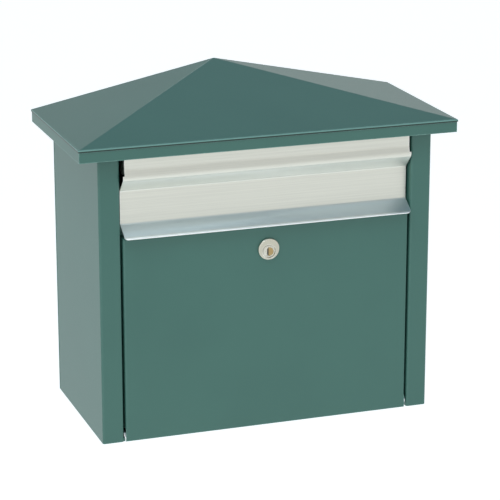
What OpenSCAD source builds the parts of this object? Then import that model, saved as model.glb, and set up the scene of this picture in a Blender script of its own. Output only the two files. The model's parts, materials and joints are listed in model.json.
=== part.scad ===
// Wall mounted mailbox with a hipped roof, a drop-down locking door and a hanging mail flap.
// +X is the viewer's right, +Y points into the wall and +Z is up. The origin is the centre of
// the four wall-screw holes, on the rear face of the back panel.

/* [Box] */
// Width of the box over the two side panels
body_w = 354; // [280:1:450]
// Depth of the box from the wall to the front of the pilasters
body_d = 174; // [130:1:240]
// Height of the fascia's lower edge above the bottom of the box
eave_h = 298; // [270:1:380]
// Thickness of the box's sheet steel
sheet_t = 1.5; // [1:0.1:2]
// Inside radius of the folds in the sheet steel
fold_r = 0.8; // [0.4:0.1:1.2]
// Width of each front pilaster
pilaster_w = 22; // [16:1:32]
// Depth of each pilaster's inner return
return_d = 14; // [13:0.5:17]
// Width of the flange at the rear of each side panel
rear_flange_w = 15; // [10:1:20]
// Width of the weld flanges under the roof
weld_flange_w = 13; // [8:1:16]

/* [Roof] */
// Overhang of the roof beyond each side panel
roof_side_over = 23; // [15:1:35]
// Overhang of the roof in front of the pilasters
roof_front_over = 14.5; // [13:0.5:24]
// Height of the fascia
fascia_h = 13; // [12:1:20]
// Rise of the apex above the top of the fascia
roof_rise = 41; // [30:1:70]
// How far the slopes' edge stands proud of the fascia
drip_out = 0.8; // [0.4:0.1:1.5]
// Height of that proud edge
drip_h = 2; // [1.5:0.1:3]

/* [Wall screws] */
// Distance between the screw holes across the box
screw_pitch_x = 240; // [150:10:240]
// Distance between the screw holes up the box
screw_pitch_z = 160; // [100:10:180]
// Height of the middle of the screw pattern above the bottom of the box
screw_mid_h = 150; // [130:5:160]
// Radius of a screw hole
screw_hole_r = 3.5; // [2.5:0.25:4.5]
// Radius of a drain hole in the floor
drain_r = 3; // [2:0.5:4]

/* [Door] */
// Height of the door
door_h = 214; // [180:1:214]
// Thickness of the door's sheet steel
door_t = 1.2; // [0.9:0.1:1.5]
// Gap between the door and each pilaster's return
door_gap = 2.3; // [1.5:0.1:4]
// Depth of the door's side and top flanges
door_flange_d = 12; // [8:0.5:12.5]

/* [Hinge] */
// Radius of the hinge pin
pin_r = 1.6; // [1.2:0.1:2]
// Radial clearance between the pin and its knuckles
pin_fit = 0.06; // [0.02:0.01:0.1]
// Thickness of the hinge leaves
leaf_t = 1.2; // [0.8:0.1:1.5]
// Gap between the barrel and the door's skin, and between the barrel and the lifted floor
barrel_gap = 0.4; // [0.3:0.05:0.8]
// Height of the hinge pin above the bottom of the box
hinge_h = 6.5; // [6:0.1:8]
// Number of knuckles, an odd number so that both end knuckles stay with the box
knuckle_count = 17; // [9:2:25]
// Gap between one knuckle and the next
knuckle_gap = 0.4; // [0.3:0.05:0.8]
// How far each leaf reaches from the pin
leaf_reach = 24; // [20:1:30]
// Number of rivets through the body leaf
rivet_count = 6; // [4:1:9]
// Radius of a rivet's shank
rivet_r = 1.6; // [1.2:0.1:2]

/* [Lock] */
// How far the lock's centre lies under the top of the door
lock_below_top = 24.5; // [24.5:0.5:60]
// Radius of the lock's head
head_r = 11.2; // [10.5:0.1:13]
// How far the head stands in front of the door
head_proud = 2.4; // [1.8:0.1:3]
// Radius of the lock's threaded body
housing_r = 9.5; // [9.3:0.1:10]
// Half width over the two flats of the body
flat_half = 8; // [7.5:0.1:9]
// Length of the body behind the door's front face
housing_len = 15; // [14:0.5:15]
// How far the plug's axis lies under the lock's centre
plug_drop = 2.3; // [1.8:0.1:2.6]
// Radius of the plug
plug_r = 6; // [5.6:0.1:6.2]
// Radial clearance of the plug in the housing
plug_fit = 0.05; // [0.02:0.01:0.1]
// Number of pin tumblers
pin_count = 5; // [3:1:5]
// Radius of a pin tumbler
tumbler_r = 0.75; // [0.6:0.05:0.8]
// Length of the tongue from the plug's axis
cam_len = 33; // [28:1:36]
// Width of the tongue
cam_w = 15; // [13:1:18]
// Thickness of the tongue
cam_t = 2; // [1.5:0.1:2.5]
// Width over the square tail of the plug
tail_w = 7; // [6:0.2:7.4]

/* [Rails] */
// How far the slot rail reaches down behind the top of the door
rail_lap = 12; // [6:0.5:12]
// How far the slot rail's top face lies above the door
rail_rise = 22; // [18:0.5:30]
// Depth of the slot rail's top flange
rail_flange_d = 12; // [6:1:16]
// Distance of the header rail behind the front of the pilasters
header_back = 19; // [18:0.5:24]
// Height of the header rail's lower edge under the fascia's lower edge
header_drop = 8; // [0:1:12]

/* [Mail flap] */
// Thickness of the flap's aluminium sheet
flap_t = 1.2; // [1:0.1:1.5]
// How far the flap's upper part stands in front of the pilasters
flap_proud = 3.3; // [2:0.1:4]
// How far the bead stands in front of the flap's upper part
bead_out = 1.9; // [0.5:0.1:2.5]
// How far the flap's middle part lies behind the front of the pilasters
recess_d = 8.3; // [6:0.1:8.5]
// How far the lip's edge stands in front of the pilasters
lip_out = 9; // [6:0.5:11]
// Gap between the middle part of the flap and each pilaster's return
flap_gap = 2.2; // [1.5:0.1:4]
// Extra gap beside the upper part of the flap
flap_step = 1.8; // [1:0.1:3]
// Height of the lip's edge above the door
lip_over_door = 2; // [1.6:0.1:4]
// Radius of the lip's corners
lip_corner_r = 4; // [2:0.5:6]
// Radius of the pivot rod
rod_r = 2; // [1.6:0.1:2.5]
// Radial clearance between the rod and the flap's ears
rod_fit = 0.06; // [0.02:0.01:0.1]
// Distance of the pivot rod behind the front of the pilasters
pivot_back = 6; // [5:0.5:7]
// Height of the pivot rod above the fascia's lower edge
pivot_rise = 2; // [1:0.5:3]
// Radius of a rubber bumper
bumper_r = 4; // [3:0.5:5]

/* [Hidden] */
$fn = 64;

GREEN = "#4b7067";
ALUMINIUM = "#cfcfc4";
ZINC = "#b9c0bf";
NICKEL = "#c9c3ae";
BRASS = "#b08d57";
STEEL = "#9a9fa1";
RUBBER = "#2a2c2d";

over_cut = 1;       // how far a cutting tool runs past the face that it cuts
touch = 0.05;       // overlap that joins two stretches of one folded sheet

half_w = body_w / 2;
inner_w = half_w - sheet_t;               // inside face of a side panel
open_w = half_w - pilaster_w;             // half the width between the pilasters' returns
eave_top = eave_h + fascia_h;
apex_h = eave_top + roof_rise;
roof_half_w = half_w + roof_side_over;
roof_len = body_d + roof_front_over;
side_drop = sheet_t / cos(atan(roof_rise / roof_half_w));   // slope's thickness, measured upright
front_drop = sheet_t / cos(atan(roof_rise / roof_len));

door_half_w = open_w - door_gap;
lock_h = door_h - lock_below_top;
rail_low_h = door_h - rail_lap;
rail_top_h = door_h + rail_rise;
barrel_r = pin_r + pin_fit + leaf_t;
hinge_d = door_t + barrel_gap + barrel_r;
floor_top = hinge_h - barrel_r;
// The door's lower edge swings under the barrel, so the floor starts behind that reach
floor_front = hinge_d + hinge_h + sheet_t;
floor_flange_h = 12;
foot_front = 1.5;
foot_gap = 0.4;
hinge_half_l = open_w - knuckle_gap;
knuckle_pitch = 2 * hinge_half_l / knuckle_count;
flange_low_h = hinge_h + barrel_r + 4.5;  // the door's side flanges start above the barrel
rivet_d = hinge_d + leaf_reach * 0.72;
rivet_head_r = rivet_r * 2;
rivet_head_h = 1;
rivet_fit = 0.05;

plug_h = lock_h - plug_drop;
washer_t = 0.8;
nut_t = 3;
nut_flats = 2 * housing_r + 5;
thread_fit = 0.05;
hole_fit = 0.1;
face_recess_r = plug_r + 1.1;             // dished mouth around the plug's face
face_recess_d = 2.1;
pocket_r = 4.6;                           // round pocket in the plug's face
pocket_x = 0.5;
pocket_z = -0.5;
pocket_depth = 1.2;
stop_t = 1;
stop_gap = 0.2;
cam_d = housing_len + stop_gap + stop_t + 0.1;
tail_end = cam_d + cam_t;
tail_fit = 0.05;
keyway_w = 1.1;
keyway_x = -0.9;
tumbler_fit = 0.05;
tumbler_pitch = 2;
tumbler_first_d = 1.6;
keyway_end = tumbler_first_d + tumbler_pitch * (pin_count - 1) + 1.2;
shear_gap = 0.15;                         // a pin's end to the plug's surface
driver_h = 2;
spring_h = 2.2;
chamber_top = plug_r + plug_fit + driver_h + spring_h;
lug_angle = 12;
lug_clear = 3;
lug_in_r = plug_r + 1.3;
lug_out_r = lug_in_r + 1.8;
cam_screw_r = 1.75;

rail_end_tab = 12;
flap_half_w = open_w - flap_gap;
flap_top_half_w = flap_half_w - flap_step;
lip_h = door_h + lip_over_door;
notch_h = eave_h - 19;                    // where the flap gets wider, just above the bead
flap_top_h = eave_h + 8;
pivot_h = eave_h + pivot_rise;
recess_low_h = lip_h + 11;
recess_top_h = eave_h - 37;
rod_hole_play = 0.1;
rod_half_l = open_w + sheet_t + 4;
push_nut_t = 2;
push_nut_r = pivot_back - sheet_t - fold_r;   // fits beside the pilaster's front
bumper_h = recess_low_h + 3.5;
bumper_x = 0.66 * open_w;
bumper_gap = 0.3;
bumper_stem_r = 2;

// ---------------------------------------------------------------- places and directions

// y of a plane that lies d behind the front of the pilasters
function front(d) = d - body_d;

// Heights are counted from the bottom of the box, and the origin is at the screw pattern
module placed() {
    translate([0, 0, -screw_mid_h]) children();
}

// A YZ outline extruded from x0 to x1
module along_x(x0, x1) {
    translate([x0, 0, 0]) rotate([90, 0, 90]) linear_extrude(x1 - x0) children();
}

// An XZ outline extruded from y0 to y1
module along_y(y0, y1) {
    translate([0, y1, 0]) rotate([90, 0, 0]) linear_extrude(y1 - y0) children();
}

// A box between two corners
module block(low, high) {
    translate(low) cube(high - low);
}

// A cylinder along X, at a depth behind the front and a height above the bottom
module rod_x(r, x0, x1, d, h) {
    translate([x0, front(d), h]) rotate([0, 90, 0]) cylinder(r = r, h = x1 - x0);
}

// A cylinder along Y, from depth d0 to depth d1
module rod_y(r, d0, d1, x, h) {
    translate([x, front(d1), h]) rotate([90, 0, 0]) cylinder(r = r, h = d1 - d0);
}

module both_sides() {
    children();
    mirror([1, 0, 0]) children();
}

// ---------------------------------------------------------------- folded sheet

function unit(v) = v / norm(v);
function left_of(v) = [-v[1], v[0]];
function turned(v, a) = [v[0] * cos(a) - v[1] * sin(a), v[0] * sin(a) + v[1] * cos(a)];
function reversed(v) = [for (i = [len(v) - 1:-1:0]) v[i]];
function fold_steps(turn) = max(3, ceil(abs(turn) / 12));

// The arc at corner i of a sheet's face line, at depth d into the sheet. The sheet lies to the
// left of the line, t thick, and r is the inside radius of the fold.
function fold_arc(path, i, t, r, d) =
    let (a = unit(path[i] - path[i - 1]),
         b = unit(path[i + 1] - path[i]),
         turn = atan2(a[0] * b[1] - a[1] * b[0], a * b),
         s = sign(turn),
         face_r = s > 0 ? r + t : r,
         mid = path[i] - a * face_r * tan(abs(turn) / 2) + s * face_r * left_of(a),
         n = fold_steps(turn))
    [for (k = [0:n]) mid - s * (face_r - s * d) * turned(left_of(a), turn * k / n)];

function fold_line(path, t, r, d) =
    let (last = len(path) - 1)
    concat([path[0] + d * left_of(unit(path[1] - path[0]))],
           [for (i = [1:last - 1]) for (p = fold_arc(path, i, t, is_list(r) ? r[i - 1] : r, d)) p],
           [path[last] + d * left_of(unit(path[last] - path[last - 1]))]);

// Outline of a folded sheet whose visible face follows path, with the sheet on its left
module folded(path, t, r) {
    polygon(concat(fold_line(path, t, r, 0), reversed(fold_line(path, t, r, t))));
}

// ---------------------------------------------------------------- roof planes

// Height of the side slopes' upper face at a distance x from the middle
function side_slope(x) = apex_h - roof_rise * abs(x) / roof_half_w;
// Height of the front slope's upper face at a depth behind the pilasters
function front_slope(d) = eave_top + roof_rise * (d + roof_front_over) / roof_len;

// Everything under the roof's slopes, lowered by the given upright distances
module under_slopes(side_low, front_low) {
    intersection() {
        along_y(-roof_len, 0)
            polygon([[-roof_half_w, 0], [roof_half_w, 0],
                     [roof_half_w, eave_top - side_low], [0, apex_h - side_low],
                     [-roof_half_w, eave_top - side_low]]);
        along_x(-roof_half_w, roof_half_w)
            polygon([[-roof_len, 0], [0, 0], [0, apex_h - front_low],
                     [-roof_len, eave_top - front_low]]);
    }
}

module roof_footprint(inset, low, high) {
    block([inset - roof_half_w, inset - roof_len, low], [roof_half_w - inset, 0, high]);
}

module roof() {
    cavity_in = drip_out + sheet_t;
    color(GREEN) placed() difference() {
        intersection() {
            under_slopes(0, 0);
            union() {
                roof_footprint(0, eave_top - drip_h, apex_h);
                roof_footprint(drip_out, eave_h, eave_top);
            }
        }
        intersection() {
            under_slopes(side_drop, front_drop);
            block([cavity_in - roof_half_w, cavity_in - roof_len, 0],
                  [roof_half_w - cavity_in, over_cut, apex_h]);
        }
    }
}

// ---------------------------------------------------------------- box

// The right side panel; the left one is its mirror image
module side_panel() {
    difference() {
        union() {
            intersection() {
                linear_extrude(apex_h)
                    folded([[open_w, front(return_d)], [open_w, front(0)], [half_w, front(0)],
                            [half_w, -sheet_t], [half_w - rear_flange_w, -sheet_t]],
                           sheet_t, fold_r);
                under_slopes(side_drop, front_drop);
            }
            top_weld_flange();
        }
        rod_x(rod_r + rod_hole_play, open_w - over_cut, open_w + sheet_t + over_cut,
              pivot_back, pivot_h);
    }
}

// Flange that carries the roof's side slope, from behind the header rail to the back
module top_weld_flange() {
    x0 = half_w - weld_flange_w;
    x1 = half_w - sheet_t / 2;
    along_y(front(header_back + weld_flange_w + 4), -2 * sheet_t - touch)
        polygon([[x0, side_slope(x0) - side_drop], [x1, side_slope(x1) - side_drop],
                 [x1, side_slope(x1) - 2 * side_drop], [x0, side_slope(x0) - 2 * side_drop]]);
}

module right_side_panel() {
    color(GREEN) placed() side_panel();
}

module left_side_panel() {
    color(GREEN) placed() mirror([1, 0, 0]) side_panel();
}

module back_panel() {
    // Near the apex the front slope is the lower one, so the weld flanges start where it clears
    inner = roof_half_w * (weld_flange_w + 3 * sheet_t) / roof_len;
    outer = half_w - weld_flange_w - 3;
    color(GREEN) placed() difference() {
        union() {
            intersection() {
                block([-half_w, -sheet_t, 0], [half_w, 0, apex_h]);
                under_slopes(side_drop, front_drop);
            }
            both_sides() along_y(-sheet_t - weld_flange_w, -sheet_t + touch)
                polygon([[inner, side_slope(inner) - side_drop],
                         [outer, side_slope(outer) - side_drop],
                         [outer, side_slope(outer) - 2 * side_drop],
                         [inner, side_slope(inner) - 2 * side_drop]]);
        }
        for (sx = [-1, 1], sz = [-1, 1])
            rod_y(screw_hole_r, body_d - sheet_t - over_cut, body_d + over_cut,
                  sx * screw_pitch_x / 2, screw_mid_h + sz * screw_pitch_z / 2);
    }
}

// A narrow strip of the floor that closes the gap beside the door's lower corner
module gap_foot(low, back) {
    x0 = door_half_w + foot_gap;
    x1 = open_w - touch;
    top = floor_top - foot_gap / 2;
    block([x0, front(foot_front), low], [x1, front(back), top]);
    block([x0, front(foot_front), 0], [x1, front(foot_front + sheet_t), top]);
}

module bottom_panel() {
    low = floor_top - sheet_t;
    flange_top = floor_top + floor_flange_h;
    mid_w = half_w - rear_flange_w - 2.5;
    wing_front = return_d + 1.3;
    tongue_w = open_w - 2;
    color(GREEN) placed() difference() {
        union() {
            along_x(-mid_w, mid_w)
                folded([[front(wing_front), low], [-sheet_t, low], [-sheet_t, flange_top]],
                       sheet_t, fold_r);
            both_sides() along_y(front(wing_front), -2 * sheet_t - fold_r - 0.1)
                folded([[mid_w - 10, low], [inner_w, low], [inner_w, flange_top]],
                       sheet_t, fold_r);
            block([-tongue_w, front(floor_front), low],
                  [tongue_w, front(wing_front + over_cut), floor_top]);
            both_sides() gap_foot(low, wing_front + over_cut);
        }
        rivet_places() cylinder(r = rivet_r + rivet_fit, h = 20, center = true);
        for (sx = [-1, 1], d = [0.35, 0.8])
            translate([sx * 0.72 * half_w, front(d * body_d), low - over_cut])
                cylinder(r = drain_r, h = sheet_t + 2 * over_cut);
    }
}

module header_rail() {
    low = eave_h - header_drop;
    back = header_back + weld_flange_w;
    color(GREEN) placed() intersection() {
        along_x(-inner_w, inner_w)
            folded([[front(back), front_slope(back) - front_drop],
                    [front(header_back), front_slope(header_back) - front_drop],
                    [front(header_back), low]],
                   sheet_t, fold_r);
        under_slopes(side_drop, front_drop);
    }
}

module slot_rail() {
    color(GREEN) placed() difference() {
        union() {
            along_x(-inner_w + touch, inner_w - touch)
                folded([[front(return_d + rail_flange_d), rail_top_h],
                        [front(return_d), rail_top_h], [front(return_d), rail_low_h]],
                       sheet_t, fold_r);
            both_sides()
                block([inner_w - sheet_t, front(return_d), rail_low_h],
                      [inner_w, front(return_d + rail_end_tab), rail_top_h - sheet_t / 2]);
        }
        both_sides()
            rod_y(bumper_stem_r + rod_fit, return_d - over_cut, return_d + sheet_t + over_cut,
                  bumper_x, bumper_h);
    }
}

// ---------------------------------------------------------------- door

// Round bar with two flats, which the lock's body and its hole in the door share
module double_d(r, half, d0, d1) {
    intersection() {
        rod_y(r, d0, d1, 0, lock_h);
        block([-half, front(d0), lock_h - 2 * r], [half, front(d1), lock_h + 2 * r]);
    }
}

module door_panel() {
    corner = door_t + fold_r + 0.4;       // relief where the side and top flanges meet
    color(GREEN) placed() difference() {
        union() {
            translate([0, 0, flange_low_h]) linear_extrude(door_h - corner - flange_low_h)
                folded([[-door_half_w, front(door_flange_d)], [-door_half_w, front(0)],
                        [door_half_w, front(0)], [door_half_w, front(door_flange_d)]],
                       door_t, fold_r);
            along_x(corner - door_half_w, door_half_w - corner)
                folded([[front(door_flange_d), door_h], [front(0), door_h],
                        [front(0), flange_low_h]], door_t, fold_r);
            block([-door_half_w, front(0), 0],
                  [door_half_w, front(door_t), flange_low_h + touch]);
        }
        double_d(housing_r + hole_fit, flat_half + hole_fit, -over_cut, door_t + over_cut);
    }
}

// ---------------------------------------------------------------- hinge

// One gap or knuckle: a block around the barrel from end to end of knuckle i, grown by play
module knuckle_room(i, play, d0, d1, h0, h1) {
    x0 = -hinge_half_l + i * knuckle_pitch;
    block([x0 - play, front(d0), h0], [x0 + knuckle_pitch + play, front(d1), h1]);
}

// Barrel with its bore, and the leaf that the children outline
module hinge_leaf(own, d0, d1, h0, h1) {
    other = 1 - own;
    room = barrel_r + barrel_gap;
    difference() {
        union() {
            rod_x(barrel_r, -hinge_half_l, hinge_half_l, hinge_d, hinge_h);
            children();
        }
        rod_x(pin_r + pin_fit, -hinge_half_l - over_cut, hinge_half_l + over_cut,
              hinge_d, hinge_h);
        for (i = [other:2:knuckle_count - 1])
            knuckle_room(i, knuckle_gap / 2, d0, d1, h0, h1);
        for (i = [own:2:knuckle_count - 1])
            end_gaps(i, room);
    }
}

// Half of the gap at each end of knuckle i
module end_gaps(i, room) {
    x0 = -hinge_half_l + i * knuckle_pitch;
    for (x = [x0, x0 + knuckle_pitch])
        if (abs(x) < hinge_half_l - touch)
            block([x - knuckle_gap / 2, front(hinge_d - room), hinge_h - room],
                  [x + knuckle_gap / 2, front(hinge_d + room), hinge_h + room]);
}

module door_hinge_leaf() {
    room = barrel_r + barrel_gap;
    joggle_h = hinge_h + barrel_r + 3;
    leaf_half_l = door_half_w - door_t - fold_r - 2;
    top = hinge_h + leaf_reach;
    color(ZINC) placed()
        hinge_leaf(1, hinge_d - room, hinge_d + room, 0, hinge_h + room)
            intersection() {
                along_x(-leaf_half_l, leaf_half_l)
                    folded([[front(door_t), top], [front(door_t), joggle_h + 2],
                            [front(door_t + barrel_gap), joggle_h],
                            [front(door_t + barrel_gap), hinge_h]], leaf_t, 0.5);
                block([-leaf_half_l, front(0), hinge_h], [leaf_half_l, front(body_d / 2), top]);
            }
}

module body_hinge_leaf() {
    room = barrel_r + barrel_gap;
    leaf_half_l = open_w - 2;
    color(ZINC) placed() difference() {
        hinge_leaf(0, hinge_d - room, hinge_d + room, 0, hinge_h + room)
            block([-leaf_half_l, front(hinge_d), floor_top],
                  [leaf_half_l, front(hinge_d + leaf_reach), floor_top + leaf_t]);
        rivet_places() cylinder(r = rivet_r + rivet_fit, h = 20, center = true);
    }
}

module hinge_pin() {
    color(STEEL) placed() rod_x(pin_r, -hinge_half_l, hinge_half_l, hinge_d, hinge_h);
}

// Puts its children at each rivet, at the height of the floor's top face
module rivet_places() {
    pitch = 2 * (open_w - 18) / (rivet_count - 1);
    for (i = [0:rivet_count - 1])
        translate([18 - open_w + i * pitch, front(rivet_d), floor_top]) children();
}

module hinge_rivets() {
    color(ZINC) placed() rivet_places() rotate_extrude()
        polygon([[0, -sheet_t - rivet_head_h], [rivet_head_r * 0.8, -sheet_t - rivet_head_h],
                 [rivet_head_r, -sheet_t - rivet_head_h * 0.5], [rivet_head_r, -sheet_t],
                 [rivet_r, -sheet_t], [rivet_r, leaf_t], [rivet_head_r, leaf_t],
                 [rivet_head_r * 0.8, leaf_t + rivet_head_h * 0.7],
                 [0, leaf_t + rivet_head_h]]);
}

// ---------------------------------------------------------------- lock

// Puts children drawn around +Z so that +Z points out of the door, at height h
module facing_out(d, h) {
    translate([0, front(d), h]) rotate([90, 0, 0]) children();
}

// A ring sector around the plug's axis, angles counted from +X towards +Z
module sector_y(r_in, r_out, a0, a1, d0, d1) {
    n = ceil((a1 - a0) / 4);
    translate([0, 0, plug_h]) along_y(front(d0), front(d1))
        polygon(concat([for (k = [0:n]) let (a = a0 + (a1 - a0) * k / n) r_in * [cos(a), sin(a)]],
                       [for (k = [n:-1:0]) let (a = a0 + (a1 - a0) * k / n)
                           r_out * [cos(a), sin(a)]]));
}

module square_y(w, d0, d1) {
    block([-w / 2, front(d0), plug_h - w / 2], [w / 2, front(d1), plug_h + w / 2]);
}

module lock_housing() {
    rim = 0.9;
    color(NICKEL) placed() difference() {
        union() {
            facing_out(0, lock_h) rotate_extrude()
                polygon([[0, 0], [head_r, 0], [head_r, head_proud - rim],
                         [head_r - rim, head_proud], [0, head_proud]]);
            double_d(housing_r, flat_half, -touch, housing_len);
            sector_y(lug_in_r, lug_out_r, 90 - lug_angle, 90 + lug_angle,
                     housing_len - touch, housing_len + stop_gap + stop_t * 0.7);
        }
        rod_y(plug_r + plug_fit, -head_proud - over_cut, housing_len + 2 * over_cut, 0, plug_h);
        rod_y(face_recess_r, -head_proud - over_cut, face_recess_d - head_proud, 0, plug_h);
        for (i = [0:pin_count - 1])
            translate([0, front(tumbler_d(i)), plug_h])
                cylinder(r = tumbler_r + tumbler_fit, h = chamber_top);
    }
}

module lock_washer() {
    color(ZINC) placed() difference() {
        rod_y(housing_r + 4, door_t, door_t + washer_t, 0, lock_h);
        double_d(housing_r + hole_fit, flat_half + hole_fit, 0, door_t + washer_t + over_cut);
    }
}

module lock_nut() {
    d0 = door_t + washer_t;
    color(ZINC) placed() difference() {
        facing_out(d0 + nut_t, lock_h)
            cylinder(r = nut_flats / 2 / cos(30), h = nut_t, $fn = 6);
        rod_y(housing_r + thread_fit, d0 - over_cut, d0 + nut_t + over_cut, 0, lock_h);
    }
}

function tumbler_d(i) = tumbler_first_d + i * tumbler_pitch;
plug_face_d = face_recess_d - head_proud - 0.2;

module lock_plug() {
    color(NICKEL) placed() difference() {
        union() {
            rod_y(plug_r, plug_face_d, housing_len, 0, plug_h);
            square_y(tail_w, housing_len - touch, tail_end);
        }
        rod_y(pocket_r, plug_face_d - over_cut, plug_face_d + pocket_depth, pocket_x,
              plug_h + pocket_z);
        block([keyway_x - keyway_w / 2, front(plug_face_d - over_cut), plug_h - 4.3],
              [keyway_x + keyway_w / 2, front(keyway_end), plug_h + 2.7]);
        for (i = [0:pin_count - 1])
            translate([0, front(tumbler_d(i)), plug_h - 1])
                cylinder(r = tumbler_r + tumbler_fit, h = plug_r + 2);
        rod_y(cam_screw_r + tail_fit, tail_end - 6.6, tail_end + over_cut, 0, plug_h);
    }
}

module lock_shutter() {
    color(BRASS) placed() intersection() {
        rod_y(pocket_r - 0.2, plug_face_d + 0.5, plug_face_d + 1.1, pocket_x, plug_h + pocket_z);
        block([keyway_x + keyway_w / 2 + 0.1, front(plug_face_d), plug_h - plug_r],
              [plug_r, front(plug_face_d + pocket_depth), plug_h + plug_r]);
    }
}

// A pin tumbler: a short round bar with one pointed and one flat end
module tumbler(low, high, tip) {
    rotate_extrude()
        polygon([[0, low], [tumbler_r * 0.4, low], [tumbler_r, low + tip],
                 [tumbler_r, high], [0, high]]);
}

module key_pins() {
    color(BRASS) placed() for (i = [0:pin_count - 1])
        translate([0, front(tumbler_d(i)), plug_h])
            tumbler(-0.9 + 0.25 * (i % 3), plug_r - shear_gap, 0.5);
}

module driver_pins() {
    color(STEEL) placed() for (i = [0:pin_count - 1])
        translate([0, front(tumbler_d(i)), plug_h])
            tumbler(plug_r + shear_gap, plug_r + driver_h, 0.1);
}

// A coil spring as one closed tube of wire around a helix
module coil_spring(r, wire_r, low, high, turns) {
    sides = 5;
    steps = 8 * turns;
    ring_points = [for (s = [0:steps], k = [0:sides - 1])
        let (a = 360 * s * turns / steps,
             b = 360 * k / sides,
             rr = r + wire_r * cos(b))
        [rr * cos(a), rr * sin(a), low + wire_r + (high - low - 2 * wire_r) * s / steps
         + wire_r * sin(b)]];
    side_faces = [for (s = [0:steps - 1], k = [0:sides - 1], half = [0, 1])
        let (k2 = (k + 1) % sides,
             here = s * sides,
             next = here + sides)
        half == 0 ? [here + k, next + k, next + k2] : [here + k, next + k2, here + k2]];
    first_cap = [for (k = [0:sides - 1]) k];
    last_cap = [for (k = [sides - 1:-1:0]) steps * sides + k];
    polyhedron(ring_points, concat([first_cap, last_cap], side_faces));
}

module pin_springs() {
    color(STEEL) placed() for (i = [0:pin_count - 1])
        translate([0, front(tumbler_d(i)), plug_h])
            coil_spring(0.5, 0.13, plug_r + driver_h + 0.02, chamber_top - 0.02, 4);
}

module stop_washer() {
    d0 = housing_len + stop_gap;
    color(STEEL) placed() difference() {
        rod_y(lug_out_r + 0.5, d0, d0 + stop_t, 0, plug_h);
        square_y(tail_w + 2 * tail_fit, d0 - over_cut, d0 + stop_t + over_cut);
        sector_y(lug_in_r - 0.4, lug_out_r + over_cut, 90 - lug_angle - lug_clear,
                 180 + lug_angle + lug_clear, d0 - over_cut, d0 + stop_t + over_cut);
    }
}

// The tongue points to -X when unlocked and turns up behind the slot rail when locked
module lock_cam() {
    end_r = cam_w / 2;
    color(ZINC) placed() difference() {
        translate([0, 0, plug_h]) along_y(front(cam_d), front(cam_d + cam_t)) union() {
            circle(r = end_r);
            translate([end_r - cam_len, -end_r]) square([cam_len - end_r, cam_w]);
            translate([end_r - cam_len, 0]) circle(r = end_r);
        }
        square_y(tail_w + 2 * tail_fit, cam_d - over_cut, cam_d + cam_t + over_cut);
    }
}

module cam_screw() {
    screw_head_r = 4.6;
    screw_head_t = 2;
    slot_w = 1;
    color(ZINC) placed() difference() {
        union() {
            rod_y(cam_screw_r, tail_end - 6, tail_end + touch, 0, plug_h);
            translate([0, front(tail_end), plug_h]) rotate([-90, 0, 0]) rotate_extrude()
                polygon([[0, 0], [screw_head_r, 0], [screw_head_r, screw_head_t * 0.4],
                         [screw_head_r * 0.6, screw_head_t], [0, screw_head_t]]);
        }
        for (turn = [0, 90])
            translate([0, front(tail_end + screw_head_t), plug_h]) rotate([0, turn, 0])
                cube([slot_w, 2, screw_head_r], center = true);
    }
}

// ---------------------------------------------------------------- mail flap

// Front face of the flap from its top flange down to the lip's edge
function flap_path() = [
    [front(pivot_back + 6), flap_top_h],
    [front(-flap_proud), flap_top_h],
    [front(-flap_proud), eave_h - 13],
    [front(-flap_proud - bead_out), eave_h - 20],
    [front(-flap_proud - bead_out), eave_h - 23],
    [front(recess_d), recess_top_h],
    [front(recess_d), recess_low_h],
    [front(-lip_out), lip_h]];
flap_folds = [1, 10, 4, 3, 2, 2.5];

module ear_outline() {
    ear_r = 5;
    back = pivot_back + 6;
    front_edge = 2.5 - flap_proud;
    difference() {
        union() {
            translate([front(front_edge), notch_h + ear_r])
                square([back - front_edge, flap_top_h - notch_h - ear_r]);
            translate([front(front_edge + ear_r), notch_h])
                square([back - front_edge - 2 * ear_r, ear_r + touch]);
            translate([front(front_edge + ear_r), notch_h + ear_r]) circle(r = ear_r);
            translate([front(back - ear_r), notch_h + ear_r]) circle(r = ear_r);
            // The fold that joins the ear to the front, hidden behind the fascia
            translate([front(flap_t / 2 - flap_proud), eave_h + 1])
                square([back + flap_proud - flap_t / 2, flap_top_h - eave_h - 1 - flap_t / 2]);
        }
        translate([front(pivot_back), pivot_h]) circle(r = rod_r + rod_fit);
    }
}

// Cuts the corner of the lip at +X to a radius
module lip_corner_cut() {
    slope = atan((recess_low_h - lip_h) / (recess_d + lip_out));
    translate([flap_half_w, front(-lip_out), lip_h]) rotate([slope, 0, 0]) difference() {
        translate([-lip_corner_r, -over_cut, -3])
            cube([lip_corner_r + over_cut, lip_corner_r + over_cut, 6]);
        translate([-lip_corner_r, lip_corner_r, -4]) cylinder(r = lip_corner_r, h = 8);
    }
}

module mail_flap() {
    color(ALUMINIUM) placed() {
        difference() {
            along_x(-flap_half_w, flap_half_w) folded(flap_path(), flap_t, flap_folds);
            both_sides() {
                block([flap_top_half_w, front(-20), notch_h],
                      [flap_half_w + over_cut, front(30), flap_top_h + over_cut]);
                lip_corner_cut();
            }
        }
        both_sides() along_x(flap_top_half_w - flap_t, flap_top_half_w) ear_outline();
    }
}

module flap_pivot_rod() {
    color(STEEL) placed() rod_x(rod_r, -rod_half_l, rod_half_l, pivot_back, pivot_h);
}

module rod_push_nuts() {
    color(ZINC) placed() both_sides() translate([open_w + sheet_t, front(pivot_back), pivot_h])
        rotate([0, 90, 0]) rotate_extrude()
            polygon([[rod_r + 0.02, 0], [push_nut_r, 0], [push_nut_r, 0.6],
                     [rod_r + 1.4, push_nut_t], [rod_r + 0.02, push_nut_t]]);
}

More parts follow.
